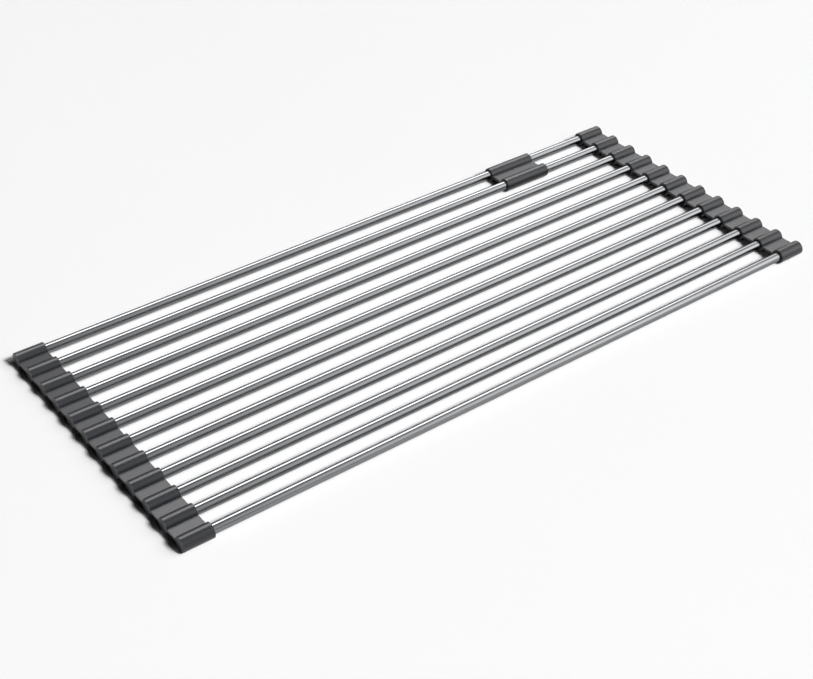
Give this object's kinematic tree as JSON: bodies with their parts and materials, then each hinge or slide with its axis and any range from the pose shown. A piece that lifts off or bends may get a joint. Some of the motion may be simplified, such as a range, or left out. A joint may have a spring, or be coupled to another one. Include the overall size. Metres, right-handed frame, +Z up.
{
  "type": "roll up dish drying rack",
  "caption": "Flat over-sink drying rack: parallel round steel tubes held by soft moulded end strips whose flexible webs let it roll up into a bundle, with a short soft tab near one corner.",
  "frame": {"origin": "on the surface that the rack lies on, below the middle of its outline", "axes": "+X along the tubes towards the end with the tab, +Y from the front tube to the rear tube that carries the tab, +Z up from the surface"},
  "size_m": [0.5294, 0.2306, 0.0106],
  "materials": {
    "steel": "polished satin stainless tube",
    "silicone": "matt moulded silicone, charcoal grey"
  },
  "bodies": {
    "row_01": {"rod_01": "steel", "left_strip_link_01": "silicone", "right_strip_link_01": "silicone", "tab_link_01": "silicone"},
    "row_02": {"rod_02": "steel", "left_strip_link_02": "silicone", "right_strip_link_02": "silicone", "tab_link_02": "silicone"},
    "row_03": {"rod_03": "steel", "left_strip_link_03": "silicone", "right_strip_link_03": "silicone"},
    "row_04": {"rod_04": "steel", "left_strip_link_04": "silicone", "right_strip_link_04": "silicone"},
    "row_05": {"rod_05": "steel", "left_strip_link_05": "silicone", "right_strip_link_05": "silicone"},
    "row_06": {"rod_06": "steel", "left_strip_link_06": "silicone", "right_strip_link_06": "silicone"},
    "row_07": {"rod_07": "steel", "left_strip_link_07": "silicone", "right_strip_link_07": "silicone"},
    "row_08": {"rod_08": "steel", "left_strip_link_08": "silicone", "right_strip_link_08": "silicone"},
    "row_09": {"rod_09": "steel", "left_strip_link_09": "silicone", "right_strip_link_09": "silicone"},
    "row_10": {"rod_10": "steel", "left_strip_link_10": "silicone", "right_strip_link_10": "silicone"},
    "row_11": {"rod_11": "steel", "left_strip_link_11": "silicone", "right_strip_link_11": "silicone"},
    "row_12": {"rod_12": "steel", "left_strip_link_12": "silicone", "right_strip_link_12": "silicone"}
  },
  "joints": [
    {"name": "web_fold_01", "type": "hinge", "parent": "row_01", "child": "row_02", "pos_m": [0, 0.1, 0.0053], "axis": [-1, 0, 0], "range_deg": [0, 40], "stiffness_Nm_per_rad": 0.03},
    {"name": "web_fold_02", "type": "hinge", "parent": "row_02", "child": "row_03", "pos_m": [0, 0.08, 0.0053], "axis": [-1, 0, 0], "range_deg": [0, 42], "stiffness_Nm_per_rad": 0.015},
    {"name": "web_fold_03", "type": "hinge", "parent": "row_03", "child": "row_04", "pos_m": [0, 0.06, 0.0053], "axis": [-1, 0, 0], "range_deg": [0, 45], "stiffness_Nm_per_rad": 0.015},
    {"name": "web_fold_04", "type": "hinge", "parent": "row_04", "child": "row_05", "pos_m": [0, 0.04, 0.0053], "axis": [-1, 0, 0], "range_deg": [0, 47], "stiffness_Nm_per_rad": 0.015},
    {"name": "web_fold_05", "type": "hinge", "parent": "row_05", "child": "row_06", "pos_m": [0, 0.02, 0.0053], "axis": [-1, 0, 0], "range_deg": [0, 50], "stiffness_Nm_per_rad": 0.015},
    {"name": "web_fold_06", "type": "hinge", "parent": "row_06", "child": "row_07", "pos_m": [0, 0, 0.0053], "axis": [-1, 0, 0], "range_deg": [0, 54], "stiffness_Nm_per_rad": 0.015},
    {"name": "web_fold_07", "type": "hinge", "parent": "row_07", "child": "row_08", "pos_m": [0, -0.02, 0.0053], "axis": [-1, 0, 0], "range_deg": [0, 58], "stiffness_Nm_per_rad": 0.015},
    {"name": "web_fold_08", "type": "hinge", "parent": "row_08", "child": "row_09", "pos_m": [0, -0.04, 0.0053], "axis": [-1, 0, 0], "range_deg": [0, 64], "stiffness_Nm_per_rad": 0.015},
    {"name": "web_fold_09", "type": "hinge", "parent": "row_09", "child": "row_10", "pos_m": [0, -0.06, 0.0053], "axis": [-1, 0, 0], "range_deg": [0, 70], "stiffness_Nm_per_rad": 0.015},
    {"name": "web_fold_10", "type": "hinge", "parent": "row_10", "child": "row_11", "pos_m": [0, -0.08, 0.0053], "axis": [-1, 0, 0], "range_deg": [0, 80], "stiffness_Nm_per_rad": 0.015},
    {"name": "web_fold_11", "type": "hinge", "parent": "row_11", "child": "row_12", "pos_m": [0, -0.1, 0.0053], "axis": [-1, 0, 0], "range_deg": [0, 111], "stiffness_Nm_per_rad": 0.015}
  ]
}
